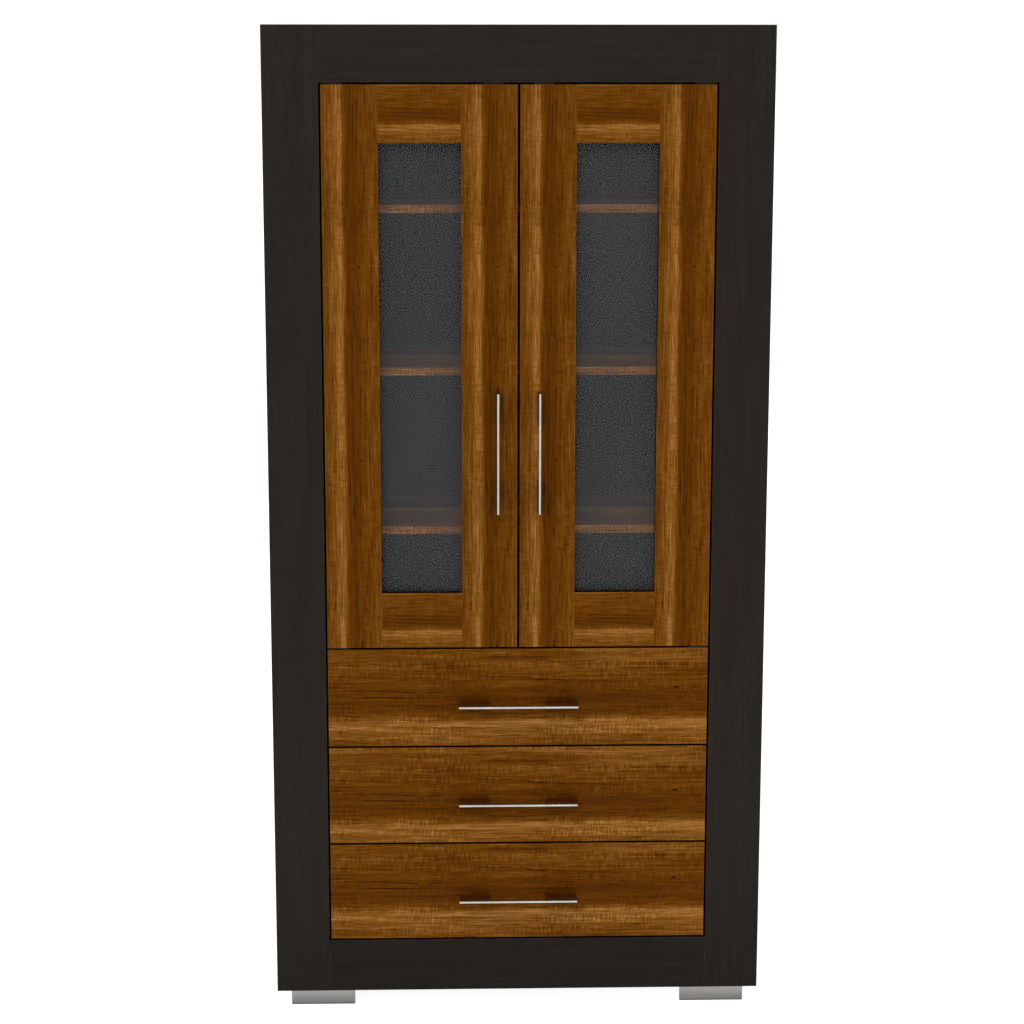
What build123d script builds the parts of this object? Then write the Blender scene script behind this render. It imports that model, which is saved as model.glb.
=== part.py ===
from build123d import *
import os

# China cabinet: a dark face frame round two glazed doors over three drawers, on four low feet.
# Millimetres. +X is right as seen from the front, +Y goes into the cabinet, +Z is up.
# The origin is the bottom centre of the whole object's box, handles included.

# Whole cabinet
WIDTH = 1000.0
HEIGHT = 2000.0
DEPTH = 400.0              # face of the frame to the rear of the back panel
FOOT_HEIGHT = 30.0
HANDLE_REACH = 34.0        # how far the handles stand out of the fronts

# Boards
FRONT_BOARD = 22.0         # frame, doors and drawer fronts
CARCASS_BOARD = 18.0
SHELF_BOARD = 16.0
BACK_BOARD = 4.0
FRAME_WIDTH = 110.0        # stiles and rails of the face frame
EASED_EDGE = 0.6           # radius on the edges of the front boards
BACK_INSET = 2.0           # back panel's edge, in from the carcass's edge
DECK_SETBACK = 1.0         # middle deck's front edge, behind the fronts' backs

# Fronts in the frame's opening
GAP = 4.0                  # round and between the fronts
DOOR_MEETING_GAP = 5.0
DRAWER_FRONT_HEIGHT = 202.5
DOOR_STILE_WIDTH = 110.5
DOOR_RAIL_HEIGHT = 112.5

# Glass
GLASS_THICKNESS = 4.0
GLASS_LAP = 10.0           # how far the pane goes under each door member
GLASS_PLAY = 1.0
CLIP_LENGTH = 22.0
CLIP_WIDTH = 18.0
CLIP_THICKNESS = 1.5
CLIP_CORNER = 2.0
CLIP_SPREAD = 0.3              # outer clips on a stile, from the window's middle, in window heights
CLIP_SCREW_RADIUS = 3.0
CLIP_SCREW_HEAD = 1.2

# Door pivots
PIVOT_INSET = 22.0         # axis, in from the door's outer edge
PIVOT_SETBACK = 12.0       # axis, behind the front face
PIVOT_PLATE = 2.0
PIVOT_PLATE_WIDTH = 40.0
PIVOT_PLATE_MARGIN = 2.0   # plate's front edge, behind the front face
LOWER_PLATE_LENGTH = 60.0
LOWER_SCREW_ROW = 45.0     # lower plate's screws, behind its front edge
PIN_RADIUS = 3.0
PIN_FIT = 0.05             # radial clearance of the pin in its bush
PIN_LENGTH = 12.0
BUSH_RADIUS = 5.0
BUSH_LENGTH = 12.0
BUSH_FLANGE_RADIUS = 7.0
BUSH_FLANGE = 1.0
PLATE_SCREW_SHIFT = 13.0   # screws, from the plate's middle
PLATE_SCREW_RADIUS = 1.6
PLATE_SCREW_LENGTH = 14.0
PLATE_SCREW_HEAD_RADIUS = 3.0
PLATE_SCREW_HEAD = 1.0

# Door catches
CATCH_OFFSET = 50.0        # catch's middle, from the cabinet's middle
CATCH_WIDTH = 40.0
CATCH_DEPTH = 14.0
CATCH_DROP = 28.0          # magnet body, below the top rail's lower edge
CATCH_LEG_HEIGHT = 24.0
CATCH_LEG = 3.0
STRIKE_WIDTH = 30.0
STRIKE_HEIGHT = 16.0
STRIKE_THICKNESS = 1.0
STRIKE_MARGIN = 6.0        # strike, below the door's upper edge

# Shelves
SHELF_PITCH = 323.0
MIDDLE_SHELF_HEIGHT = 1321.5   # mid-thickness of the middle shelf
SHELF_SETBACK = 40.0           # shelf's front edge, behind the front face
SHELF_PLAY = 1.5
PIN_ROW_INSET = 45.0           # rows of pin holes, in from the shelf's front and back
SHELF_PIN_RADIUS = 2.5
SHELF_PIN_FIT = 0.05
SHELF_PIN_DEPTH = 9.0
SHELF_PIN_REACH = 8.0
SHELF_PIN_COLLAR_RADIUS = 4.0
SHELF_PIN_COLLAR = 1.2
HOLE_DEPTH = 10.0
HOLE_PITCH = 32.0
SPARE_HOLES = 2                # spare holes above and below each pin

# Handles
HANDLE_LENGTH = 242.0
TRIM_HEIGHT = 4.0              # bright strip along the bar's front
TRIM_DEPTH = 2.0
BAR_HEIGHT = 5.6
BAR_DEPTH = 5.0
BAR_EDGE = 0.6
LEG_LENGTH = 64.0              # along the bar, from its end
LEG_HEIGHT = 9.6
LEG_EDGE = 1.5
HANDLE_SCREW_SPACING = 192.0
HANDLE_SCREW_RADIUS = 1.5
HANDLE_SCREW_HOLE_RADIUS = 1.8
HANDLE_THREAD = 9.0            # how far the screw goes into the leg
HANDLE_THREAD_END = 1.0        # hole in the leg, past the screw's tip
HANDLE_SCREW_HEAD_RADIUS = 3.2
HANDLE_SCREW_HEAD = 2.2
THREAD_CLEARANCE = 0.05
DOOR_HANDLE_OFFSET = 41.5      # bar's middle, from the cabinet's middle
DOOR_HANDLE_HEIGHT = 1163.5    # bar's middle
DRAWER_HANDLE_DROP = 13.5      # bar, below the middle of the drawer front

# Drawer boxes and runners
BOX_BOARD = 15.0
BOX_HEIGHT = 150.0
BOX_DEPTH = 350.0
BOX_LIFT = 20.0                # box side's lower edge, above the front's lower edge
BOX_BACK_DROP = 10.0           # back's upper edge, below the sides' upper edge
BOTTOM_THICKNESS = 3.2
BOTTOM_LIFT = 10.0             # underside of the bottom, above the sides' lower edge
BOTTOM_LAP = 6.0
GROOVE_PLAY = 0.2
GROOVE_END_PLAY = 0.5
STRIP_HEIGHT = 17.0
STRIP_THICKNESS = 10.0
STRIP_SETBACK = 26.0           # strip's front end, behind the drawer front
STRIP_LENGTH = 330.0
STRIP_GROOVE_DEPTH = 7.0
STRIP_GROOVE_STOP = 22.0

# Feet: an angle with its upright leg outwards, on a glide strip
FOOT_WIDTH = 132.0
FOOT_DEPTH = 45.0
FOOT_UPRIGHT = 5.0             # thickness of the upright leg
FOOT_FLANGE = 4.0              # thickness of the level leg
FOOT_BEND = 4.0                # radius in the angle
FOOT_INSET = 29.5              # foot's outer side, in from the cabinet's side
FOOT_SETBACK = 1.0
FOOT_EDGE = 1.0
GLIDE_HEIGHT = 3.5
GLIDE_INSET = 0.4              # glide's faces, in from the upright leg's

# Nails of the back panel
NAIL_HEAD_RADIUS = 2.5
NAIL_HEAD = 0.6
NAIL_SINK = 0.15           # head's face, below the panel's face
NAIL_RADIUS = 0.8
NAIL_LENGTH = 20.0
NAILS_ACROSS = 6
NAILS_UP = 11

# Derived places
HALF = WIDTH / 2
FRONT = HANDLE_REACH - (HANDLE_REACH + DEPTH) / 2
BEHIND_FRONTS = FRONT + FRONT_BOARD
BACK = FRONT + DEPTH
CARCASS_BACK = BACK - BACK_BOARD
OPENING_HALF = HALF - FRAME_WIDTH
OPENING_LOW = FOOT_HEIGHT + FRAME_WIDTH
OPENING_HIGH = HEIGHT - FRAME_WIDTH
DRAWER_STEP = DRAWER_FRONT_HEIGHT + GAP
FRONTS_HALF = OPENING_HALF - GAP
DOOR_LOW = OPENING_LOW + GAP + 3 * DRAWER_STEP
DOOR_HIGH = OPENING_HIGH - GAP
DOOR_INNER = DOOR_MEETING_GAP / 2
WINDOW_LOW = DOOR_LOW + DOOR_RAIL_HEIGHT
WINDOW_HIGH = DOOR_HIGH - DOOR_RAIL_HEIGHT
WINDOW_INNER = DOOR_INNER + DOOR_STILE_WIDTH
WINDOW_OUTER = FRONTS_HALF - DOOR_STILE_WIDTH
DECK_TOP = DOOR_LOW - BUSH_FLANGE - PIVOT_PLATE
PIVOT_X = FRONTS_HALF - PIVOT_INSET
PIVOT_Y = FRONT + PIVOT_SETBACK
SHELF_FRONT = FRONT + SHELF_SETBACK
SHELF_BACK = CARCASS_BACK - SHELF_PLAY
SHELF_HEIGHTS = {
    "upper": MIDDLE_SHELF_HEIGHT + SHELF_PITCH,
    "middle": MIDDLE_SHELF_HEIGHT,
    "lower": MIDDLE_SHELF_HEIGHT - SHELF_PITCH,
}
PIN_ROWS = (SHELF_FRONT + PIN_ROW_INSET, SHELF_BACK - PIN_ROW_INSET)
DRAWER_LOWS = {
    "lower": OPENING_LOW + GAP,
    "middle": OPENING_LOW + GAP + DRAWER_STEP,
    "upper": OPENING_LOW + GAP + 2 * DRAWER_STEP,
}
SIDES = {"left": -1, "right": 1}

nodes = {}


def block(x, y, z):
    """A box from three (low, high) pairs, given in either order."""
    low = Vector(min(x), min(y), min(z))
    size = Vector(max(x), max(y), max(z)) - low
    box = Box(size.X, size.Y, size.Z, align=(Align.MIN, Align.MIN, Align.MIN))
    return Pos(low) * box


def eased(board):
    """A board with the edges of its front face rounded a little."""
    return fillet(board.faces().sort_by(Axis.Y)[0].edges(), EASED_EDGE)


def rod(base, direction, radius, length):
    """A round bar from its base point along one of the axes."""
    plane = Plane(origin=base, z_dir=direction)
    return plane * Cylinder(radius, length, align=(Align.CENTER, Align.CENTER, Align.MIN))


def side_span(side, inner, outer):
    """The x span between two distances from the middle, on one side of the cabinet."""
    return (side * inner, side * outer)


# Face frame


def make_frame():
    across = (-OPENING_HALF, OPENING_HALF)
    deep = (FRONT, BEHIND_FRONTS)
    for name, side in SIDES.items():
        stile = block(side_span(side, OPENING_HALF, HALF), deep, (FOOT_HEIGHT, HEIGHT))
        nodes[f"frame_stile_{name}"] = [eased(stile)]
    nodes["frame_rail_top"] = [eased(block(across, deep, (OPENING_HIGH, HEIGHT)))]
    nodes["frame_rail_bottom"] = [eased(block(across, deep, (FOOT_HEIGHT, OPENING_LOW)))]


# Carcass


def shelf_pin_holes(side):
    """The rows of pin holes in one inner side."""
    holes = []
    face = side * OPENING_HALF
    for height in SHELF_HEIGHTS.values():
        pin_height = height - SHELF_BOARD / 2 - SHELF_PIN_RADIUS
        for row in PIN_ROWS:
            for step in range(-SPARE_HOLES, SPARE_HOLES + 1):
                mouth = (face, row, pin_height + step * HOLE_PITCH)
                holes.append(rod(mouth, (side, 0, 0), SHELF_PIN_RADIUS + SHELF_PIN_FIT, HOLE_DEPTH))
    return holes


def make_carcass():
    deep = (BEHIND_FRONTS, CARCASS_BACK)
    floor_top = FOOT_HEIGHT + CARCASS_BOARD
    ceiling = HEIGHT - CARCASS_BOARD
    outer_inside = HALF - CARCASS_BOARD
    for name, side in SIDES.items():
        outer = block(side_span(side, outer_inside, HALF), deep, (FOOT_HEIGHT, ceiling))
        nodes[f"outer_side_{name}"] = [outer]
        inner_span = side_span(side, OPENING_HALF, OPENING_HALF + CARCASS_BOARD)
        inner = block(inner_span, deep, (floor_top, ceiling))
        nodes[f"inner_side_{name}"] = [inner - shelf_pin_holes(side)]
    nodes["top_panel"] = [block((-HALF, HALF), deep, (ceiling, HEIGHT))]
    floor_across = (-outer_inside, outer_inside)
    nodes["bottom_panel"] = [block(floor_across, deep, (FOOT_HEIGHT, floor_top))]
    deck_across = (-OPENING_HALF, OPENING_HALF)
    deck_high = (DECK_TOP - CARCASS_BOARD, DECK_TOP)
    nodes["middle_deck"] = [block(deck_across, (BEHIND_FRONTS + DECK_SETBACK, CARCASS_BACK), deck_high)]


def nail_places():
    """Where the nails go, round the back panel and into the edges of the boards in front of it."""
    edge_x = HALF - CARCASS_BOARD / 2
    low = FOOT_HEIGHT + CARCASS_BOARD / 2
    high = HEIGHT - CARCASS_BOARD / 2
    places = []
    for i in range(NAILS_UP):
        z = low + (high - low) * i / (NAILS_UP - 1)
        places += [(-edge_x, z), (edge_x, z)]
    for i in range(1, NAILS_ACROSS):
        x = -edge_x + 2 * edge_x * i / NAILS_ACROSS
        places += [(x, low), (x, high)]
    return places


def make_back():
    """The thin back panel, with its nails driven in until the heads are just below its face."""
    across = (BACK_INSET - HALF, HALF - BACK_INSET)
    high = (FOOT_HEIGHT + BACK_INSET, HEIGHT - BACK_INSET)
    panel = block(across, (CARCASS_BACK, BACK), high)
    dents = []
    nails = []
    for x, z in nail_places():
        dents.append(rod((x, BACK, z), (0, -1, 0), NAIL_HEAD_RADIUS, NAIL_SINK + NAIL_HEAD))
        face = (x, BACK - NAIL_SINK, z)
        head = rod(face, (0, -1, 0), NAIL_HEAD_RADIUS, NAIL_HEAD)
        nails.append(head + rod(face, (0, -1, 0), NAIL_RADIUS, NAIL_LENGTH))
    nodes["back_panel"] = [panel - dents]
    nodes["back_panel_nails"] = nails


def make_shelves():
    across = (SHELF_PLAY - OPENING_HALF, OPENING_HALF - SHELF_PLAY)
    pins = []
    for name, height in SHELF_HEIGHTS.items():
        low = height - SHELF_BOARD / 2
        shelf = block(across, (SHELF_FRONT, SHELF_BACK), (low, low + SHELF_BOARD))
        nodes[f"shelf_{name}"] = [eased(shelf)]
        for side in SIDES.values():
            for row in PIN_ROWS:
                face = (side * OPENING_HALF, row, low - SHELF_PIN_RADIUS)
                pin = rod(face, (side, 0, 0), SHELF_PIN_RADIUS, SHELF_PIN_DEPTH)
                pin += rod(face, (-side, 0, 0), SHELF_PIN_RADIUS, SHELF_PIN_REACH)
                pin += rod(face, (-side, 0, 0), SHELF_PIN_COLLAR_RADIUS, SHELF_PIN_COLLAR)
                pins.append(pin)
    nodes["shelf_pins"] = pins


def make_foot(middle, outside, inward):
    """A foot round x = middle, with its outer face at y = outside; inward is 1 or -1 along Y."""
    across = (middle - FOOT_WIDTH / 2, middle + FOOT_WIDTH / 2)
    inside = outside + inward * FOOT_UPRIGHT
    under_flange = FOOT_HEIGHT - FOOT_FLANGE
    angle = block(across, (outside, inside), (GLIDE_HEIGHT, FOOT_HEIGHT))
    angle += block(across, (outside, outside + inward * FOOT_DEPTH), (under_flange, FOOT_HEIGHT))
    bend = angle.edges().filter_by(Axis.X).sort_by_distance(Vector(middle, inside, under_flange))[0]
    angle = fillet(bend, FOOT_BEND)
    uprights = angle.edges().filter_by(Axis.Z).sort_by_distance(Vector(middle, outside, 0))[:2]
    angle = fillet(uprights, FOOT_EDGE)
    glide_across = (across[0] + GLIDE_INSET, across[1] - GLIDE_INSET)
    glide = block(glide_across, (outside + inward * GLIDE_INSET, inside), (0, GLIDE_HEIGHT))
    return [angle, glide]


def make_feet():
    middle = HALF - FOOT_INSET - FOOT_WIDTH / 2
    for name, side in SIDES.items():
        nodes[f"foot_front_{name}"] = make_foot(side * middle, FRONT + FOOT_SETBACK, 1)
        nodes[f"foot_rear_{name}"] = make_foot(side * middle, CARCASS_BACK - FOOT_SETBACK, -1)


# Handles


def make_handle(middle, along):
    """A bar on two broad legs, a bright strip along its front, and the screws that hold it.

    middle is the bar's middle on the front face, along is the bar's direction.
    """
    centre = Vector(middle)
    along = Vector(along)

    def on_line(shift, length, height, near, far):
        """A block on the bar's line. near and far are distances out of the front face."""
        size = (length, far - near, height)
        if along.Z:
            size = size[::-1]
        return Pos(centre + along * shift - Vector(0, (near + far) / 2, 0)) * Box(*size)

    bar_front = HANDLE_REACH - TRIM_DEPTH
    bar_back = bar_front - BAR_DEPTH
    thread_depth = HANDLE_THREAD + HANDLE_THREAD_END
    trim = on_line(0, HANDLE_LENGTH, TRIM_HEIGHT, bar_front, HANDLE_REACH)
    bar = on_line(0, HANDLE_LENGTH, BAR_HEIGHT, bar_back, bar_front)
    pieces = [eased(trim), fillet(bar.edges(), BAR_EDGE)]
    for end in (-1, 1):
        leg_shift = end * (HANDLE_LENGTH - LEG_LENGTH) / 2
        leg = on_line(leg_shift, LEG_LENGTH, LEG_HEIGHT, 0, bar_back)
        leg = fillet(leg.edges().filter_by(Axis.Y), LEG_EDGE)
        foot = centre + along * (end * HANDLE_SCREW_SPACING / 2)
        leg -= rod(foot, (0, -1, 0), HANDLE_SCREW_RADIUS + THREAD_CLEARANCE, thread_depth)
        thread_tip = foot - Vector(0, HANDLE_THREAD, 0)
        screw = rod(thread_tip, (0, 1, 0), HANDLE_SCREW_RADIUS, HANDLE_THREAD + FRONT_BOARD)
        head_base = foot + Vector(0, FRONT_BOARD, 0)
        screw += rod(head_base, (0, 1, 0), HANDLE_SCREW_HEAD_RADIUS, HANDLE_SCREW_HEAD)
        pieces += [leg, screw]
    return pieces


def handle_holes(middle, along):
    """The two screw holes through the front board behind a handle."""
    centre = Vector(middle)
    holes = []
    for end in (-1, 1):
        foot = centre + Vector(along) * (end * HANDLE_SCREW_SPACING / 2)
        holes.append(rod(foot, (0, 1, 0), HANDLE_SCREW_HOLE_RADIUS, FRONT_BOARD))
    return holes


# Doors


def make_door(name, side):
    deep = (FRONT, BEHIND_FRONTS)
    high = (DOOR_LOW, DOOR_HIGH)
    window_across = side_span(side, WINDOW_INNER, WINDOW_OUTER)
    pane_across = side_span(side, WINDOW_INNER - GLASS_LAP, WINDOW_OUTER + GLASS_LAP)
    pane_high = (WINDOW_LOW - GLASS_LAP, WINDOW_HIGH + GLASS_LAP)
    rebate_front = BEHIND_FRONTS - GLASS_THICKNESS
    rebate = block(pane_across, (rebate_front, BEHIND_FRONTS), pane_high)
    handle_middle = (side * DOOR_HANDLE_OFFSET, FRONT, DOOR_HANDLE_HEIGHT)

    bush_holes = [
        rod((side * PIVOT_X, PIVOT_Y, DOOR_LOW), (0, 0, 1), BUSH_RADIUS, BUSH_LENGTH),
        rod((side * PIVOT_X, PIVOT_Y, DOOR_HIGH), (0, 0, -1), BUSH_RADIUS, BUSH_LENGTH),
    ]
    hinge_stile = eased(block(side_span(side, WINDOW_OUTER, FRONTS_HALF), deep, high))
    lock_stile = eased(block(side_span(side, DOOR_INNER, WINDOW_INNER), deep, high))
    top_rail = eased(block(window_across, deep, (WINDOW_HIGH, DOOR_HIGH)))
    bottom_rail = eased(block(window_across, deep, (DOOR_LOW, WINDOW_LOW)))
    nodes[f"door_{name}_hinge_stile"] = [hinge_stile - [rebate, *bush_holes]]
    nodes[f"door_{name}_lock_stile"] = [lock_stile - [rebate, *handle_holes(handle_middle, (0, 0, 1))]]
    nodes[f"door_{name}_top_rail"] = [top_rail - rebate]
    nodes[f"door_{name}_bottom_rail"] = [bottom_rail - rebate]

    glass_across = side_span(
        side, WINDOW_INNER - GLASS_LAP + GLASS_PLAY, WINDOW_OUTER + GLASS_LAP - GLASS_PLAY
    )
    glass_high = (pane_high[0], pane_high[1] - GLASS_PLAY)
    nodes[f"door_{name}_glass"] = [block(glass_across, (rebate_front, BEHIND_FRONTS), glass_high)]
    nodes[f"door_{name}_glass_clips"] = make_clips(side)
    nodes[f"door_{name}_handle"] = make_handle(handle_middle, (0, 0, 1))
    nodes[f"door_{name}_pivot_bushes"] = make_bushes(side)
    nodes[f"door_{name}_strike_plate"] = [make_strike(side)]


def make_clips(side):
    """Glass clips on the door's back: three on each stile, one on each rail, each with its screw."""
    window_middle = (WINDOW_INNER + WINDOW_OUTER) / 2
    middle_height = (WINDOW_LOW + WINDOW_HIGH) / 2
    spread = CLIP_SPREAD * (WINDOW_HIGH - WINDOW_LOW)
    places = []
    for z in (middle_height - spread, middle_height, middle_height + spread):
        places.append((WINDOW_INNER - GLASS_LAP, z, (-1, 0)))
        places.append((WINDOW_OUTER + GLASS_LAP, z, (1, 0)))
    places.append((window_middle, WINDOW_LOW - GLASS_LAP, (0, -1)))
    places.append((window_middle, WINDOW_HIGH + GLASS_LAP, (0, 1)))
    back = BEHIND_FRONTS + CLIP_THICKNESS
    # Each clip laps the pane by a third of its length and the door member by the rest.
    shift = CLIP_LENGTH / 2 - CLIP_LENGTH / 3
    clips = []
    for x, z, (out_x, out_z) in places:
        middle = Vector(side * (x + out_x * shift), 0, z + out_z * shift)
        half_x = (CLIP_LENGTH if out_x else CLIP_WIDTH) / 2
        half_z = (CLIP_LENGTH if out_z else CLIP_WIDTH) / 2
        clip = block(
            (middle.X - half_x, middle.X + half_x),
            (BEHIND_FRONTS, back),
            (middle.Z - half_z, middle.Z + half_z),
        )
        clips.append(fillet(clip.edges().filter_by(Axis.Y), CLIP_CORNER))
        screw = (middle.X + side * out_x * shift, back, middle.Z + out_z * shift)
        clips.append(rod(screw, (0, 1, 0), CLIP_SCREW_RADIUS, CLIP_SCREW_HEAD))
    return clips


def make_bushes(side):
    """The flanged bushes in the door's lower and upper edge."""
    bushes = []
    for edge, inward in ((DOOR_LOW, 1), (DOOR_HIGH, -1)):
        mouth = (side * PIVOT_X, PIVOT_Y, edge)
        flange_face = (side * PIVOT_X, PIVOT_Y, edge - inward * BUSH_FLANGE)
        bush = rod(mouth, (0, 0, inward), BUSH_RADIUS, BUSH_LENGTH)
        bush += rod(mouth, (0, 0, -inward), BUSH_FLANGE_RADIUS, BUSH_FLANGE)
        bore = rod(flange_face, (0, 0, inward), PIN_RADIUS + PIN_FIT, BUSH_FLANGE + BUSH_LENGTH)
        bushes.append(bush - bore)
    return bushes


def make_strike(side):
    high = DOOR_HIGH - STRIKE_MARGIN
    across = side_span(side, CATCH_OFFSET - STRIKE_WIDTH / 2, CATCH_OFFSET + STRIKE_WIDTH / 2)
    deep = (BEHIND_FRONTS, BEHIND_FRONTS + STRIKE_THICKNESS)
    return block(across, deep, (high - STRIKE_HEIGHT, high))


def make_pivot_plates():
    """Plates with their pivot pins: on the deck under each door, and under the top rail."""
    pieces = []
    front = FRONT + PIVOT_PLATE_MARGIN
    for side in SIDES.values():
        x = side * PIVOT_X
        across = (x - PIVOT_PLATE_WIDTH / 2, x + PIVOT_PLATE_WIDTH / 2)
        layout = (
            (DECK_TOP, 1, front + LOWER_PLATE_LENGTH, front + LOWER_SCREW_ROW),
            (OPENING_HIGH, -1, BEHIND_FRONTS, PIVOT_Y),
        )
        for face, out, rear, screw_row in layout:
            surface = face + out * PIVOT_PLATE
            plate = block(across, (front, rear), (face, surface))
            plate += rod((x, PIVOT_Y, surface), (0, 0, out), PIN_RADIUS, PIN_LENGTH)
            for shift in (-PLATE_SCREW_SHIFT, PLATE_SCREW_SHIFT):
                head_seat = surface - out * PLATE_SCREW_HEAD
                seat = (x + shift, screw_row, head_seat)
                plate -= rod(seat, (0, 0, out), PLATE_SCREW_HEAD_RADIUS, PLATE_SCREW_HEAD)
                plate -= rod(seat, (0, 0, -out), PLATE_SCREW_RADIUS, PIVOT_PLATE)
                screw = rod(seat, (0, 0, out), PLATE_SCREW_HEAD_RADIUS, PLATE_SCREW_HEAD)
                screw += rod(seat, (0, 0, -out), PLATE_SCREW_RADIUS, PLATE_SCREW_LENGTH)
                pieces.append(screw)
            pieces.append(plate)
    nodes["pivot_plates"] = pieces


def make_catches():
    """Magnet catches hung on the back of the top rail, one behind each door."""
    catches = []
    for side in SIDES.values():
        across = side_span(side, CATCH_OFFSET - CATCH_WIDTH / 2, CATCH_OFFSET + CATCH_WIDTH / 2)
        face = BEHIND_FRONTS + STRIKE_THICKNESS
        body_low = OPENING_HIGH - CATCH_DROP
        leg_low = OPENING_HIGH + STRIKE_THICKNESS
        catch = block(across, (face, face + CATCH_DEPTH), (body_low, leg_low + CATCH_LEG))
        leg_high = leg_low + CATCH_LEG_HEIGHT
        catch += block(across, (BEHIND_FRONTS, BEHIND_FRONTS + CATCH_LEG), (leg_low, leg_high))
        catches.append(catch)
    nodes["magnet_catches"] = catches


# Drawers


def make_drawer(name, low):
    side_low = low + BOX_LIFT
    side_high = side_low + BOX_HEIGHT
    box_back = BEHIND_FRONTS + BOX_DEPTH
    box_inside = FRONTS_HALF - BOX_BOARD
    bottom_low = side_low + BOTTOM_LIFT
    bottom_high = bottom_low + BOTTOM_THICKNESS
    groove_high = (bottom_low - GROOVE_PLAY, bottom_high + GROOVE_PLAY)
    lap = box_inside + BOTTOM_LAP
    strip_middle = side_low + BOX_HEIGHT / 2
    handle_middle = (0, FRONT, low + DRAWER_FRONT_HEIGHT / 2 - DRAWER_HANDLE_DROP)

    front = eased(
        block((-FRONTS_HALF, FRONTS_HALF), (FRONT, BEHIND_FRONTS), (low, low + DRAWER_FRONT_HEIGHT))
    )
    bottom_groove = block(
        (-lap - GROOVE_END_PLAY, lap + GROOVE_END_PLAY),
        (BEHIND_FRONTS - BOTTOM_LAP - GROOVE_END_PLAY, box_back),
        groove_high,
    )
    nodes[f"drawer_{name}_front"] = [front - [bottom_groove, *handle_holes(handle_middle, (1, 0, 0))]]

    strip_groove_high = (
        strip_middle - STRIP_HEIGHT / 2 - GROOVE_PLAY,
        strip_middle + STRIP_HEIGHT / 2 + GROOVE_PLAY,
    )
    for side_name, side in SIDES.items():
        board = block(
            side_span(side, box_inside, FRONTS_HALF), (BEHIND_FRONTS, box_back), (side_low, side_high)
        )
        strip_groove = block(
            side_span(side, FRONTS_HALF - STRIP_GROOVE_DEPTH, FRONTS_HALF),
            (BEHIND_FRONTS + STRIP_GROOVE_STOP, box_back),
            strip_groove_high,
        )
        nodes[f"drawer_{name}_side_{side_name}"] = [board - [bottom_groove, strip_groove]]
    back = block(
        (-box_inside, box_inside), (box_back - BOX_BOARD, box_back), (bottom_high, side_high - BOX_BACK_DROP)
    )
    nodes[f"drawer_{name}_back"] = [back]
    bottom = block((-lap, lap), (BEHIND_FRONTS - BOTTOM_LAP, box_back), (bottom_low, bottom_high))
    nodes[f"drawer_{name}_bottom"] = [bottom]
    nodes[f"drawer_{name}_handle"] = make_handle(handle_middle, (1, 0, 0))
    return strip_middle


def make_runner_strips(strip_middles):
    """Strips on the inner sides, which the grooves of the drawer sides slide on."""
    strips = []
    for middle in strip_middles:
        for side in SIDES.values():
            strip = block(
                side_span(side, OPENING_HALF - STRIP_THICKNESS, OPENING_HALF),
                (BEHIND_FRONTS + STRIP_SETBACK, BEHIND_FRONTS + STRIP_SETBACK + STRIP_LENGTH),
                (middle - STRIP_HEIGHT / 2, middle + STRIP_HEIGHT / 2),
            )
            strips.append(strip)
    nodes["runner_strips"] = strips


make_frame()
make_carcass()
make_back()
make_shelves()
make_feet()
for door_name, door_side in SIDES.items():
    make_door(door_name, door_side)
make_pivot_plates()
make_catches()
strip_heights = [make_drawer(drawer_name, drawer_low) for drawer_name, drawer_low in DRAWER_LOWS.items()]
make_runner_strips(strip_heights)

os.makedirs("parts", exist_ok=True)
for node_name, solids in nodes.items():
    shape = solids[0] if len(solids) == 1 else Compound(children=solids)
    export_step(shape, f"parts/{node_name}.step")
print(len(nodes), "nodes")
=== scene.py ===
import math

import bpy
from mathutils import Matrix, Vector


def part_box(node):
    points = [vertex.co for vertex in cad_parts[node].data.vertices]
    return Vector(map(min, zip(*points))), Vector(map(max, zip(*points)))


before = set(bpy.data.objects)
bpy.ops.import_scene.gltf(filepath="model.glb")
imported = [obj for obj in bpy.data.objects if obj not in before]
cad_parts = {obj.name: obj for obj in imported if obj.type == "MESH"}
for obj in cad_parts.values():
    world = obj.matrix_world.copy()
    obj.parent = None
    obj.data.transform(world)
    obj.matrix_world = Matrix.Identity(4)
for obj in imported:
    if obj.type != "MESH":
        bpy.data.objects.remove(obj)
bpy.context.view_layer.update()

# The walnut veneer is one printed sheet, used at full size on the drawers and reduced on the doors.
DRAWER_SHEET = 0.2025       # across the grain, in metres
DOOR_SHEET = 0.101
SHEET_LENGTH = 3.81         # along the grain, in sheet widths
DRAWER_TICKS = 70.0         # marks across the grain, to a sheet width
DOOR_TICKS = 46.0
DOOR_FIGURE = 0.5           # the doors' smaller sheet has half the figure
STILE_SHEET_START = 0.012   # the sheets' zero lines, in from the boards' edges, in metres
RAIL_SHEET_START = 0.0035
SHELF_SHEET_START = 0.144

# The frame's boards are darkened a little all over, and more towards the floor as painted shade.
FRAME_SHADE = 0.09
FLOOR_SHADE = 0.15
SHADED_HEIGHT = 0.30

FRONT_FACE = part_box("drawer_upper_front")[0].y
TRIM_DEPTH = 0.002          # the bright strip on each handle's front
GLIDE_HEIGHT = 0.0035       # the plastic strip under each foot
FOOT_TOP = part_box("foot_front_left")[1].z
THREAD_PITCH = 0.0012       # the linen weave in the drawers, in metres

FLOOR_RADIUS = 400.0
ROOM_LIGHT = 0.70
BACKDROP_EXTRA = 0.35

CAMERA_PLACE = (-0.1647, -4.7536, 1.8935)
CAMERA_DOWN = 10.54         # degrees below level
CAMERA_RIGHT = 1.54         # degrees to the right of straight ahead
CAMERA_SHIFT = (0.01404, -0.0003)
FOCAL_LENGTH = 81.47        # on a sensor 36 mm wide


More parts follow.
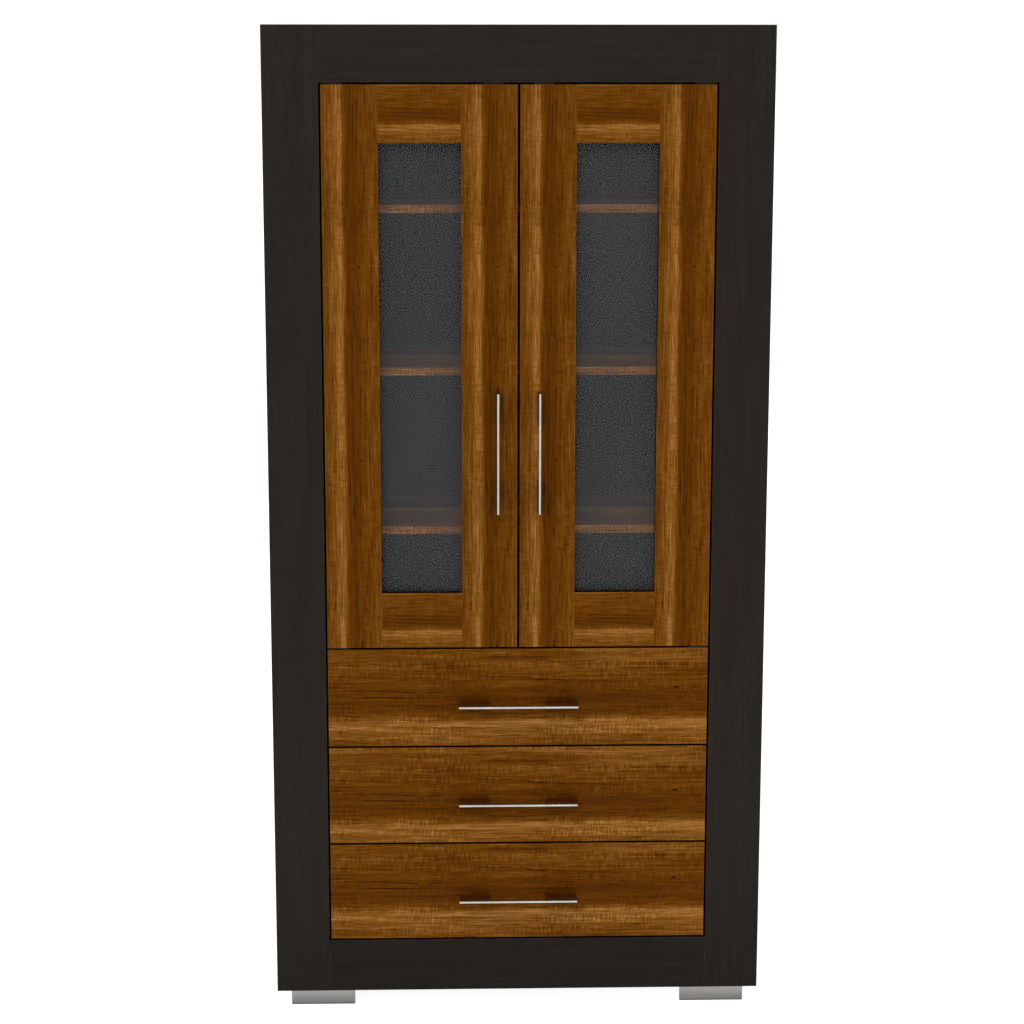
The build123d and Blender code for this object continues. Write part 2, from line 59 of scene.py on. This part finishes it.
def linear(red, green, blue):
    """A colour given in 0-255 display values, as the linear values that shaders take."""
    channels = []
    for value in (red, green, blue):
        value = value / 255
        channels.append(value / 12.92 if value <= 0.04045 else ((value + 0.055) / 1.055) ** 2.4)
    return (*channels, 1.0)


def grey(value):
    """A plain number as a ramp colour."""
    return (value, value, value, 1.0)


class Graph:
    """Adds shader nodes to a tree and wires them."""

    def __init__(self, tree):
        self.tree = tree

    def add(self, kind, **settings):
        node = self.tree.nodes.new(kind)
        for name, value in settings.items():
            setattr(node, name, value)
        return node

    def feed(self, socket, value):
        if isinstance(value, bpy.types.NodeSocket):
            self.tree.links.new(value, socket)
        else:
            socket.default_value = value

    def math(self, operation, *values, clamp=False):
        node = self.add("ShaderNodeMath", operation=operation, use_clamp=clamp)
        for socket, value in zip(node.inputs, values):
            self.feed(socket, value)
        return node.outputs[0]

    def vector(self, operation, *values):
        node = self.add("ShaderNodeVectorMath", operation=operation)
        for socket, value in zip(node.inputs, values):
            self.feed(socket, value)
        return node.outputs[0]

    def split(self, vector):
        node = self.add("ShaderNodeSeparateXYZ")
        self.feed(node.inputs[0], vector)
        return node.outputs[:3]

    def join(self, x, y, z):
        node = self.add("ShaderNodeCombineXYZ")
        for socket, value in zip(node.inputs, (x, y, z)):
            self.feed(socket, value)
        return node.outputs[0]

    def scaled(self, vector, *factors):
        return self.vector("MULTIPLY", vector, factors)

    def noise(self, vector, detail=2.0, roughness=0.5):
        node = self.add("ShaderNodeTexNoise")
        self.feed(node.inputs["Vector"], vector)
        self.feed(node.inputs["Scale"], 1.0)
        self.feed(node.inputs["Detail"], detail)
        self.feed(node.inputs["Roughness"], roughness)
        return node.outputs["Fac"]

    def around_zero(self, value, amount):
        """Noise moved from about 0.5 to about 0, and made stronger or weaker."""
        return self.math("MULTIPLY", self.math("SUBTRACT", value, 0.5), amount)

    def total(self, first, *others):
        for value in others:
            first = self.math("ADD", first, value)
        return first

    def product(self, first, *others):
        for value in others:
            first = self.math("MULTIPLY", first, value)
        return first

    def step(self, value, start, end):
        """0 before start and 1 after end, with a smooth rise between. start may be the larger one."""
        node = self.add("ShaderNodeMapRange", interpolation_type="SMOOTHSTEP")
        if start < end:
            low, high, before, after = start, end, 0.0, 1.0
        else:
            low, high, before, after = end, start, 1.0, 0.0
        for name, number in (("Value", value), ("From Min", low), ("From Max", high),
                             ("To Min", before), ("To Max", after)):
            self.feed(node.inputs[name], number)
        return node.outputs[0]

    def ramp(self, factor, stops):
        node = self.add("ShaderNodeValToRGB")
        ramp = node.color_ramp
        while len(ramp.elements) < len(stops):
            ramp.elements.new(1.0)
        for element, (place, colour) in zip(ramp.elements, stops):
            element.position = place
            element.color = colour
        self.feed(node.inputs[0], factor)
        return node.outputs[0]

    def mix(self, factor, first, second):
        node = self.add("ShaderNodeMix", data_type="RGBA")
        colours = [socket for socket in node.inputs if socket.type == "RGBA"]
        self.feed(node.inputs[0], factor)
        self.feed(colours[0], first)
        self.feed(colours[1], second)
        return [socket for socket in node.outputs if socket.type == "RGBA"][0]


def new_group(name, inputs, outputs):
    """An empty node group, with its graph, its given sockets by name and its result node."""
    tree = bpy.data.node_groups.new(name, "ShaderNodeTree")
    for label, kind in inputs:
        tree.interface.new_socket(label, in_out="INPUT", socket_type=kind)
    for label, kind in outputs:
        tree.interface.new_socket(label, in_out="OUTPUT", socket_type=kind)
    g = Graph(tree)
    return g, g.add("NodeGroupInput").outputs, g.add("NodeGroupOutput").inputs


FINISH = (("Color", "NodeSocketColor"), ("Roughness", "NodeSocketFloat"), ("Height", "NodeSocketFloat"))


def make_walnut_pattern():
    """The walnut sheet. Sheet holds how far along and across the sheet a point is, in sheet widths;
    Grain is the same in widths of the drawers' sheet; Edge is the distance to the board's nearest
    edge in metres; the side input is 1 on the board's narrow sides, which it paints dark as shade in
    the gaps and window reveals; Figure is how strongly the bands wander and ripple; Ticks is how
    fine the marks across the grain are."""
    given_sockets = (("Sheet", "NodeSocketVector"), ("Grain", "NodeSocketVector"),
                     ("Edge", "NodeSocketFloat"), ("Side", "NodeSocketFloat"),
                     ("Figure", "NodeSocketFloat"), ("Ticks", "NodeSocketFloat"))
    g, given, result = new_group("walnut_pattern", given_sockets, FINISH)
    sheet = given["Sheet"]
    grain = given["Grain"]
    along, across, _ = g.split(sheet)
    along_once = g.math("MULTIPLY", g.math("FRACT", g.math("DIVIDE", along, SHEET_LENGTH)), SHEET_LENGTH)

    # The broad bands wander along the grain, with a ragged edge.
    slow = g.around_zero(g.noise(g.scaled(sheet, 0.7, 1.6, 1.6), 2.0), 0.12)
    quick = g.around_zero(g.noise(g.scaled(sheet, 2.6, 9.0, 9.0), 2.0), 0.05)
    ragged = g.around_zero(g.noise(g.scaled(grain, 5.0, 45.0, 45.0), 3.0), 0.10)
    wavy = g.math("MULTIPLY_ADD", g.total(slow, quick), given["Figure"], across)
    band = g.ramp(g.math("FRACT", g.math("MULTIPLY_ADD", ragged, given["Figure"], wavy)), WALNUT_BANDS)

    # Streaks of four widths run along the grain.
    broad = g.around_zero(g.noise(g.scaled(sheet, 0.6, 15, 15), 3.0, 0.6), 0.85)
    broad = g.product(broad, given["Figure"])
    middling = g.around_zero(g.noise(g.scaled(grain, 1.3, 42, 42), 3.0, 0.6), 0.95)
    narrow = g.around_zero(g.noise(g.scaled(grain, 5.0, 85, 85), 3.0, 0.6), 0.95)
    fibre = g.around_zero(g.noise(g.scaled(grain, 14.0, 380, 380), 2.0, 0.5), 0.40)

    # Short ticks stand across the grain, stronger in patches.
    leaning = g.vector("ADD", grain, g.join(g.math("MULTIPLY", across, 0.05), 0.0, 0.0))
    ticks = g.noise(g.vector("MULTIPLY", leaning, g.join(given["Ticks"], 9.0, 9.0)), 0.6)
    ticks = g.around_zero(ticks, 1.05)
    flecks = g.around_zero(g.noise(g.scaled(leaning, 24.0, 50.0, 50.0), 2.0), 0.35)
    chance = g.step(g.noise(g.scaled(sheet, 1.5, 4.5, 4.5), 2.0), 0.42, 0.62)
    patches = g.total(chance, *[spot(g, along_once, across, *place) for place in RIPPLE_SPOTS])
    strength = g.math("MULTIPLY_ADD", g.math("MINIMUM", patches, 1.0), 0.62, 0.18)
    ripple = g.product(g.total(ticks, flecks), strength, given["Figure"])

    # Dark cracks, dashes and a knot.
    break_up = g.step(g.noise(g.scaled(grain, 11.0, 30, 30), 3.0), 0.34, 0.50)
    cracks = g.product(g.total(*[crack(g, along_once, wavy, *place) for place in CRACKS]), break_up)
    dashes = g.step(g.noise(g.scaled(grain, 2.6, 62, 62), 4.0, 0.6), 0.56, 0.70)
    dash_zone = g.step(g.noise(g.scaled(sheet, 0.7, 4.0, 4.0), 2.0), 0.36, 0.58)
    dashes = g.product(dashes, dash_zone)
    pores = g.step(g.noise(g.scaled(grain, 26.0, 900, 900), 1.0), 0.60, 0.72)
    knot = spot(g, along_once, across, *KNOT)
    dark = g.total(g.math("MULTIPLY", cracks, 0.42), g.math("MULTIPLY", dashes, 0.40),
                   g.math("MULTIPLY", pores, 0.10), g.math("MULTIPLY", knot, 0.5))

    # The figure is calmer in the dark bands, and one part of the sheet is paler.
    calm = g.math("MINIMUM", g.math("MULTIPLY_ADD", band, 1.4, 0.2), 1.0)
    figure = g.product(g.total(broad, middling, narrow, fibre, ripple), calm)
    pale = g.product(spot(g, along_once, across, *PALE_SPOT), given["Figure"], 0.16)
    tone = g.math("SUBTRACT", g.total(band, figure, pale), dark)
    colour = g.ramp(tone, WALNUT_TONES)
    # A lighter, warmer band along each board's edge, in patches: partly wear, partly a painted highlight
    # on the eased edge.
    edge_patches = g.step(g.noise(g.scaled(grain, 5.0, 5.0, 5.0)), 0.3, 0.6)
    edge_wear_and_highlight = g.product(g.step(given["Edge"], 0.0014, 0.0004), edge_patches)
    colour = g.mix(g.math("MULTIPLY", edge_wear_and_highlight, 0.25), colour, linear(134, 84, 30))
    # Painted shade: the narrow sides go dark brown, as the gaps between fronts and the window reveals lie
    # in shade.
    band_tone = g.math("MULTIPLY_ADD", narrow, 0.5, 0.5)
    side_shade = g.ramp(band_tone, [(0.2, linear(16, 8, 3)), (0.8, linear(30, 16, 7))])
    colour = g.mix(given["Side"], colour, side_shade)

    g.feed(result["Color"], colour)
    rough = g.total(0.50, g.math("MULTIPLY", fibre, 0.5), g.math("MULTIPLY", dark, 0.3),
                    g.math("MULTIPLY", edge_wear_and_highlight, -0.10))
    g.feed(result["Roughness"], rough)
    sunk = g.math("MULTIPLY", dark, 1.5)
    g.feed(result["Height"], g.math("SUBTRACT", g.total(narrow, fibre, 0.5), sunk))


def spot(g, along, across, middle_along, middle_across, reach_along, reach_across):
    """1 at the middle of an oval on the sheet, falling to 0 at its rim."""
    x = g.math("DIVIDE", g.math("SUBTRACT", along, middle_along), reach_along)
    y = g.math("DIVIDE", g.math("SUBTRACT", across, middle_across), reach_across)
    distance = g.math("SQRT", g.total(g.math("MULTIPLY", x, x), g.math("MULTIPLY", y, y)))
    return g.step(distance, 1.0, 0.35)


def crack(g, along, across, start, end, from_across, to_across):
    """A thin line on the sheet that runs from start to end along the grain, drifting across it."""
    share = g.math("DIVIDE", g.math("SUBTRACT", along, start), end - start, clamp=True)
    line = g.math("MULTIPLY_ADD", share, to_across - from_across, from_across)
    thin = g.step(g.math("ABSOLUTE", g.math("SUBTRACT", across, line)), 0.010, 0.002)
    return g.product(thin, g.step(along, start, start + 0.15), g.step(along, end, end - 0.25))


# Tone across the sheet, from the top of a drawer to its bottom; the sheet repeats.
WALNUT_BANDS = [(place, grey(tone)) for place, tone in (
    (0.00, 0.53), (0.07, 0.46), (0.14, 0.50), (0.20, 0.48), (0.30, 0.43), (0.38, 0.39), (0.46, 0.33),
    (0.53, 0.28), (0.62, 0.29), (0.66, 0.35), (0.70, 0.52), (0.735, 0.75), (0.785, 0.83), (0.83, 0.76),
    (0.88, 0.67), (0.94, 0.58), (1.00, 0.54))]
WALNUT_TONES = [(0.00, linear(34, 13, 0)), (0.25, linear(70, 33, 0)), (0.45, linear(86, 45, 0)),
                (0.60, linear(98, 59, 14)), (0.80, linear(117, 74, 26)), (1.00, linear(143, 98, 50))]

# Places on the sheet, in sheet widths. A spot is its middle along and across, then its reach along and
# across; a crack is where it starts and ends along the sheet, then how far across it starts and ends.
RIPPLE_SPOTS = ((1.25, 0.22, 0.75, 0.24), (2.95, 0.28, 0.55, 0.28), (2.9, 0.80, 0.6, 0.14))
CRACKS = ((0.05, 1.35, 0.415, 0.455), (1.40, 2.55, 0.265, 0.335), (0.0, 0.55, 0.73, 0.735),
          (0.30, 1.05, 0.50, 0.51), (0.0, 0.35, 0.155, 0.15), (1.55, 2.05, 0.885, 0.875))
KNOT = (3.50, 0.405, 0.045, 0.020)
PALE_SPOT = (3.20, 0.04, 0.90, 0.15)


def make_wenge_pattern():
    """The dark frame foil: straight fine grain, nearly black. Shade lowers its tone, a little all over and
    more near the floor as painted shade.
    """
    given_sockets = (("Sheet", "NodeSocketVector"), ("Edge", "NodeSocketFloat"),
                     ("Shade", "NodeSocketFloat"))
    g, given, result = new_group("wenge_pattern", given_sockets, FINISH)
    sheet = given["Sheet"]
    slow = g.around_zero(g.noise(g.scaled(sheet, 0.6, 9, 9), 2.0), 0.25)
    vein = g.around_zero(g.noise(g.scaled(sheet, 1.6, 130, 130), 3.0, 0.6), 0.8)
    fibre = g.around_zero(g.noise(g.scaled(sheet, 12, 620, 620), 2.0), 0.7)
    pores = g.step(g.noise(g.scaled(sheet, 22, 1100, 1100), 1.0), 0.58, 0.70)
    dark = g.math("MULTIPLY_ADD", pores, 0.25, given["Shade"])
    tone = g.math("SUBTRACT", g.total(slow, vein, fibre, 0.5), dark)
    colour = g.ramp(tone, [(0.0, linear(8, 6, 5)), (0.5, linear(28, 24, 21)), (1.0, linear(48, 42, 36))])
    # A lighter band along each board's edge, in patches: partly wear, partly a painted highlight on the
    # eased edge.
    edge_patches = g.step(g.noise(g.scaled(sheet, 9, 9, 9)), 0.35, 0.65)
    edge_wear_and_highlight = g.product(g.step(given["Edge"], 0.0016, 0.0004), edge_patches)
    colour = g.mix(g.math("MULTIPLY", edge_wear_and_highlight, 0.30), colour, linear(74, 66, 58))
    g.feed(result["Color"], colour)
    rough = g.total(0.52, g.math("MULTIPLY", fibre, 0.25), g.math("MULTIPLY", pores, 0.15))
    g.feed(result["Roughness"], rough)
    sunk = g.math("MULTIPLY", pores, 0.8)
    g.feed(result["Height"], g.math("SUBTRACT", g.total(vein, fibre, 0.5), sunk))


def new_material(name):
    """A material with a Principled shader, its graph, its shader node and the object's coordinates."""
    material = bpy.data.materials.new(name)
    material.use_nodes = True
    tree = material.node_tree
    tree.nodes.clear()
    g = Graph(tree)
    shader = g.add("ShaderNodeBsdfPrincipled")
    output = g.add("ShaderNodeOutputMaterial")
    tree.links.new(shader.outputs[0], output.inputs["Surface"])
    place = g.add("ShaderNodeTexCoord").outputs["Object"]
    return material, g, shader, place


def paint(node, material):
    """Gives every slot of a CAD node the material."""
    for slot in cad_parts[node].material_slots:
        slot.material = material


def edge_distance(g, place, node):
    """Distance from a point on a board's face to the nearest edge of the board."""
    low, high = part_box(node)
    from_low = g.vector("SUBTRACT", place, tuple(low))
    from_high = g.vector("SUBTRACT", tuple(high), place)
    inward = g.vector("MINIMUM", from_low, from_high)
    x, y, z = g.split(inward)
    largest = g.math("MAXIMUM", g.math("MAXIMUM", x, y), z)
    return g.math("SUBTRACT", g.total(x, y, z), largest)


def sheet_place(g, place, along, across, deep, width):
    """Sheet coordinates of a point. along, across and deep are (axis, direction, zero point in metres)."""
    axes = g.split(place)
    lengths = [g.math("MULTIPLY_ADD", axes["XYZ".index(axis)], way / width, -way * zero / width)
               for axis, way, zero in (along, across, deep)]
    return g.join(*lengths)


def add_bump(g, shader, height, strength, distance):
    bump = g.add("ShaderNodeBump")
    g.feed(bump.inputs["Strength"], strength)
    g.feed(bump.inputs["Distance"], distance)
    g.feed(bump.inputs["Height"], height)
    g.feed(shader.inputs["Normal"], bump.outputs[0])


def board_material(node, pattern, sheet, specular, tint, dark_sides=False):
    """A board's own material: the pattern laid along the board's grain, with a lighter band at its edges
    that is partly wear and partly a painted highlight.
    """
    material, g, shader, place = new_material(node + "_finish")
    group = g.add("ShaderNodeGroup", node_tree=bpy.data.node_groups[pattern])
    where = sheet_place(g, place, *sheet)
    g.feed(group.inputs["Sheet"], where)
    g.feed(group.inputs["Edge"], edge_distance(g, place, node))
    if pattern == "walnut_pattern":
        ratio = sheet[3] / DRAWER_SHEET
        g.feed(group.inputs["Grain"], g.scaled(where, ratio, ratio, ratio))
        on_door = node.startswith("door_")
        g.feed(group.inputs["Figure"], DOOR_FIGURE if on_door else 1.0)
        g.feed(group.inputs["Ticks"], DOOR_TICKS if on_door else DRAWER_TICKS)
    else:
        # Painted shade: the boards' tone drops towards the floor, below SHADED_HEIGHT.
        _, _, height = g.split(place)
        near_floor = g.step(height, SHADED_HEIGHT, 0.0)
        g.feed(group.inputs["Shade"], g.math("MULTIPLY_ADD", near_floor, FLOOR_SHADE, FRAME_SHADE))
    # Painted shade on the narrow sides, in the gaps and window reveals.
    if dark_sides:
        g.feed(group.inputs["Side"], narrow_side(g, place, node))
    g.feed(shader.inputs["Base Color"], group.outputs["Color"])
    g.feed(shader.inputs["Roughness"], group.outputs["Roughness"])
    add_bump(g, shader, group.outputs["Height"], 0.25, 0.0004)
    shader.inputs["Specular IOR Level"].default_value = specular
    shader.inputs["Specular Tint"].default_value = tint
    paint(node, material)


def narrow_side(g, place, node):
    """1 between a front board's face and back: on its narrow sides, which are painted dark as shade in the
    gaps and window reveals.
    """
    low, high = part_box(node)
    _, y, _ = g.split(place)
    behind_front = g.step(y, low.y + 0.0006, low.y + 0.0010)
    before_back = g.step(y, high.y - 0.0001, high.y - 0.0005)
    return g.product(behind_front, before_back)


# Specular level and tint of the boards' finishes.
WALNUT_GLOSS = (0.12, (1.0, 0.58, 0.16, 1.0))
WENGE_GLOSS = (0.12, (1.0, 0.86, 0.72, 1.0))
# The bottom rail's copy has less gloss so that it reads darker: painted shade.
WENGE_GLOSS_SHADED = (0.10, (1.0, 0.86, 0.72, 1.0))


def paint_walnut():
    """Doors, drawer fronts and shelves."""
    for name, shift in (("upper", 0.0), ("middle", 0.012), ("lower", -0.006)):
        node = f"drawer_{name}_front"
        low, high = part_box(node)
        sheet = (("X", 1, low.x), ("Z", -1, high.z - shift), ("Y", 1, low.y), DRAWER_SHEET)
        board_material(node, "walnut_pattern", sheet, *WALNUT_GLOSS, dark_sides=True)
    for side in ("left", "right"):
        for part in ("hinge_stile", "lock_stile"):
            node = f"door_{side}_{part}"
            low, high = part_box(node)
            start = low.x + STILE_SHEET_START + DOOR_SHEET
            sheet = (("Z", -1, high.z), ("X", -1, start), ("Y", 1, low.y), DOOR_SHEET)
            board_material(node, "walnut_pattern", sheet, *WALNUT_GLOSS, dark_sides=True)
        for part in ("top_rail", "bottom_rail"):
            node = f"door_{side}_{part}"
            low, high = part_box(node)
            start = high.z - RAIL_SHEET_START
            sheet = (("X", 1, low.x), ("Z", -1, start), ("Y", 1, low.y), DOOR_SHEET)
            board_material(node, "walnut_pattern", sheet, *WALNUT_GLOSS, dark_sides=True)
    for name in ("upper", "middle", "lower"):
        node = f"shelf_{name}"
        low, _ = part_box(node)
        sheet = (("X", 1, low.x), ("Y", -1, low.y + SHELF_SHEET_START), ("Z", 1, low.z), DRAWER_SHEET)
        board_material(node, "walnut_pattern", sheet, *WALNUT_GLOSS)


def paint_wenge():
    """Face frame and carcass boards: upright grain in uprights, level grain in rails and decks."""
    upright = ("frame_stile_left", "frame_stile_right", "outer_side_left", "outer_side_right",
               "inner_side_left", "inner_side_right")
    level = ("frame_rail_top", "frame_rail_bottom", "top_panel", "bottom_panel", "middle_deck")
    for node in upright + level:
        along, across, deep = ("Z", "X", "Y") if node in upright else ("X", "Z", "Y")
        sheet = ((along, 1, -1.0), (across, 1, -1.0), (deep, 1, -1.0), DRAWER_SHEET)
        # Painted shade: the bottom rail takes the less glossy copy so that it reads darker.
        gloss = WENGE_GLOSS_SHADED if node == "frame_rail_bottom" else WENGE_GLOSS
        board_material(node, "wenge_pattern", sheet, *gloss)


def fill_slot(slot_name, material):
    """Gives the material to every CAD node whose slot in the record has that name."""
    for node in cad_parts.values():
        for slot in node.material_slots:
            if slot.material and slot.material.name.split(".")[0] == slot_name:
                slot.material = material


def make_glass():
    """Clear panes with faint smears and a faint grey layer that stands in for their reflection of the
    room: a painted reflection.
    """
    material, g, shader, place = new_material("pane_glass")
    # Painted reflection: the grey base colour, seen through the low alpha, stands in for the room mirrored
    # in the glass; the noise adds smears.
    smear = g.noise(g.scaled(place, 9, 9, 3), 3.0)
    reflection_grey = g.ramp(smear, [(0.3, linear(126, 127, 128)), (0.7, linear(132, 133, 134))])
    g.feed(shader.inputs["Base Color"], reflection_grey)
    g.feed(shader.inputs["Roughness"], g.math("MULTIPLY_ADD", smear, 0.03, 0.02))
    shader.inputs["Alpha"].default_value = 0.073
    shader.inputs["Specular IOR Level"].default_value = 0.5
    shader.inputs["IOR"].default_value = 1.5
    fill_slot("glass", material)


def make_metal(slot_name, light, dark, roughness):
    """Plated or blackened metal, fine-grained and faintly clouded."""
    material, g, shader, place = new_material(slot_name + "_finish")
    grain = g.noise(g.scaled(place, 900, 900, 900), 3.0)
    clouds = g.noise(g.scaled(place, 30, 30, 30), 3.0)
    tone = g.total(g.math("MULTIPLY", grain, 0.5), g.math("MULTIPLY", clouds, 0.5))
    g.feed(shader.inputs["Base Color"], g.ramp(tone, [(0.35, dark), (0.65, light)]))
    g.feed(shader.inputs["Roughness"], g.math("MULTIPLY_ADD", tone, 0.25, roughness - 0.12))
    add_bump(g, shader, grain, 0.12, 0.0002)
    shader.inputs["Metallic"].default_value = 1.0
    fill_slot(slot_name, material)


def make_foot_finish():
    """Aluminium brushed lengthways, painted darker towards the floor as shade, on a grey-brown plastic
    glide strip.
    """
    material, g, shader, place = new_material("foot_metal_finish")
    _, _, height = g.split(place)
    lines = g.noise(g.scaled(place, 12, 900, 900), 3.0)
    clouds = g.noise(g.scaled(place, 14, 30, 30), 2.0)
    # Painted shade: the aluminium's tone is lower near the floor and higher towards the foot's top.
    foot_shade_ramp = g.math("MULTIPLY", g.step(height, GLIDE_HEIGHT, FOOT_TOP), 0.46)
    tone = g.total(g.math("MULTIPLY", lines, 0.3), g.math("MULTIPLY", clouds, 0.2), foot_shade_ramp)
    metal = g.step(height, GLIDE_HEIGHT - 0.0002, GLIDE_HEIGHT)
    silver = g.ramp(tone, [(0.2, linear(114, 112, 110)), (0.75, linear(149, 147, 145))])
    plastic = g.ramp(lines, [(0.3, linear(66, 62, 57)), (0.7, linear(82, 77, 71))])
    g.feed(shader.inputs["Base Color"], g.mix(metal, plastic, silver))
    g.feed(shader.inputs["Metallic"], metal)
    g.feed(shader.inputs["Roughness"], g.math("MULTIPLY_ADD", lines, 0.20, 0.34))
    add_bump(g, shader, lines, 0.12, 0.0002)
    fill_slot("foot_metal", material)


def make_handle_finish():
    """Satin nickel on the front strip, dark brown lacquer on bar and legs, zinc on the screws."""
    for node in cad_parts:
        if not node.endswith("_handle"):
            continue
        material, g, shader, place = new_material(node + "_finish")
        low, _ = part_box(node)
        _, y, _ = g.split(place)
        strip = g.step(y, low.y + TRIM_DEPTH - 0.0001, low.y + TRIM_DEPTH - 0.0003)
        screw = g.step(y, FRONT_FACE, FRONT_FACE + 0.0002)
        brushed = g.noise(g.scaled(place, 700, 700, 700), 3.0)
        clouds = g.noise(g.scaled(place, 40, 40, 40), 3.0)
        tone = g.total(g.math("MULTIPLY", brushed, 0.5), g.math("MULTIPLY", clouds, 0.5))
        nickel = g.ramp(tone, [(0.35, linear(166, 165, 161)), (0.65, linear(194, 193, 188))])
        lacquer = g.ramp(tone, [(0.35, linear(56, 26, 3)), (0.65, linear(70, 34, 6))])
        metal = g.math("MAXIMUM", strip, screw)
        g.feed(shader.inputs["Base Color"], g.mix(metal, lacquer, nickel))
        g.feed(shader.inputs["Metallic"], metal)
        g.feed(shader.inputs["Roughness"], g.math("MULTIPLY_ADD", tone, 0.25, 0.16))
        shader.inputs["Specular IOR Level"].default_value = 0.15
        add_bump(g, shader, brushed, 0.10, 0.0002)
        paint(node, material)


def make_back_board():
    """Thin hardboard: dark foil inside, bare brown board behind."""
    material, g, shader, place = new_material("back_board_finish")
    _, y, _ = g.split(place)
    low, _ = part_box("back_panel")
    outside = g.step(y, low.y + 0.001, low.y + 0.002)
    specks = g.noise(g.scaled(place, 400, 400, 400), 4.0, 0.7)
    fibres = g.noise(g.scaled(place, 60, 60, 60), 3.0)
    mottled = g.total(g.math("MULTIPLY", specks, 0.6), g.math("MULTIPLY", fibres, 0.4))
    bare = g.ramp(mottled, [(0.3, linear(88, 62, 40)), (0.5, linear(118, 86, 58)),
                            (0.7, linear(146, 112, 80))])
    foil = g.ramp(mottled, [(0.3, linear(9, 8, 7)), (0.7, linear(17, 15, 14))])
    g.feed(shader.inputs["Base Color"], g.mix(outside, foil, bare))
    g.feed(shader.inputs["Roughness"], g.math("MULTIPLY_ADD", specks, 0.3, 0.55))
    add_bump(g, shader, mottled, 0.2, 0.0004)
    shader.inputs["Specular IOR Level"].default_value = 0.1
    fill_slot("back_board", material)


def make_drawer_lining():
    """Pale grey-beige foil with a faint linen weave."""
    material, g, shader, place = new_material("drawer_lining_finish")
    x, y, z = g.split(place)
    threads = [g.math("SINE", g.math("MULTIPLY", axis, math.tau / THREAD_PITCH)) for axis in (x, y, z)]
    weave = g.math("MULTIPLY", g.total(*threads), 0.10)
    clouds = g.around_zero(g.noise(g.scaled(place, 25, 25, 25), 4.0), 0.6)
    specks = g.around_zero(g.noise(g.scaled(place, 500, 500, 500), 2.0), 0.5)
    tone = g.total(weave, clouds, specks, 0.5)
    foil = g.ramp(tone, [(0.0, linear(170, 163, 152)), (1.0, linear(208, 202, 192))])
    g.feed(shader.inputs["Base Color"], foil)
    g.feed(shader.inputs["Roughness"], g.math("MULTIPLY_ADD", tone, 0.12, 0.45))
    add_bump(g, shader, tone, 0.15, 0.0003)
    fill_slot("drawer_lining", material)


def make_plastic():
    """Dark moulded plastic with a fine spark-eroded grain."""
    material, g, shader, place = new_material("fitting_plastic_finish")
    grain = g.noise(g.scaled(place, 1500, 1500, 1500), 2.0)
    clouds = g.noise(g.scaled(place, 80, 80, 80), 2.0)
    tone = g.total(g.math("MULTIPLY", grain, 0.5), g.math("MULTIPLY", clouds, 0.5))
    brown = g.ramp(tone, [(0.3, linear(30, 29, 28)), (0.7, linear(50, 48, 46))])
    g.feed(shader.inputs["Base Color"], brown)
    g.feed(shader.inputs["Roughness"], g.math("MULTIPLY_ADD", grain, 0.3, 0.3))
    add_bump(g, shader, grain, 0.2, 0.0002)
    fill_slot("fitting_plastic", material)


def make_floor():
    """A pale seamless floor, which glows so that the cabinet's shadow hardly shows."""
    bpy.ops.mesh.primitive_circle_add(vertices=96, radius=FLOOR_RADIUS, fill_type="NGON")
    floor = bpy.context.object
    floor.name = "floor"
    material, g, shader, place = new_material("studio_floor")
    clouds = g.noise(g.scaled(place, 2, 2, 2), 3.0)
    pale = g.ramp(clouds, [(0.3, linear(172, 172, 172)), (0.7, linear(176, 176, 176))])
    g.feed(shader.inputs["Base Color"], pale)
    shader.inputs["Emission Color"].default_value = (1, 1, 1, 1)
    shader.inputs["Emission Strength"].default_value = 0.92
    shader.inputs["Roughness"].default_value = 0.9
    shader.inputs["Specular IOR Level"].default_value = 0.0
    floor.data.materials.append(material)


def make_lights():
    """A white room, brighter where the camera looks into it, and one large soft lamp up on the left."""
    world = bpy.data.worlds.new("studio")
    bpy.context.scene.world = world
    world.use_nodes = True
    g = Graph(world.node_tree)
    world.node_tree.nodes.clear()
    rays = g.add("ShaderNodeLightPath").outputs
    strength = g.math("MULTIPLY_ADD", rays["Is Camera Ray"], BACKDROP_EXTRA, ROOM_LIGHT)
    background = g.add("ShaderNodeBackground")
    g.feed(background.inputs["Color"], (1, 1, 1, 1))
    g.feed(background.inputs["Strength"], strength)
    output = g.add("ShaderNodeOutputWorld")
    world.node_tree.links.new(background.outputs[0], output.inputs[0])

    lamp = bpy.data.lights.new("key", "SUN")
    lamp.energy = 1.5
    lamp.angle = math.radians(50)
    key = bpy.data.objects.new("key", lamp)
    key.rotation_euler = (math.radians(48), 0, math.radians(-22))
    bpy.context.scene.collection.objects.link(key)


def make_camera():
    """Standing height, a little left of the middle, looking slightly down and to the right."""
    data = bpy.data.cameras.new("camera")
    data.lens = FOCAL_LENGTH
    data.sensor_width = 36.0
    data.shift_x, data.shift_y = CAMERA_SHIFT
    camera = bpy.data.objects.new("camera", data)
    camera.location = CAMERA_PLACE
    camera.rotation_euler = (math.radians(90 - CAMERA_DOWN), 0, math.radians(-CAMERA_RIGHT))
    bpy.context.scene.collection.objects.link(camera)
    bpy.context.scene.camera = camera


make_walnut_pattern()
make_wenge_pattern()
paint_walnut()
paint_wenge()
make_glass()
make_handle_finish()
make_foot_finish()
make_metal("steel_fittings", linear(214, 214, 212), linear(168, 168, 166), 0.35)
make_metal("black_steel", linear(46, 44, 42), linear(26, 25, 24), 0.45)
make_back_board()
make_drawer_lining()
make_plastic()
make_floor()
make_lights()
make_camera()
bpy.context.scene.view_settings.view_transform = "Standard"
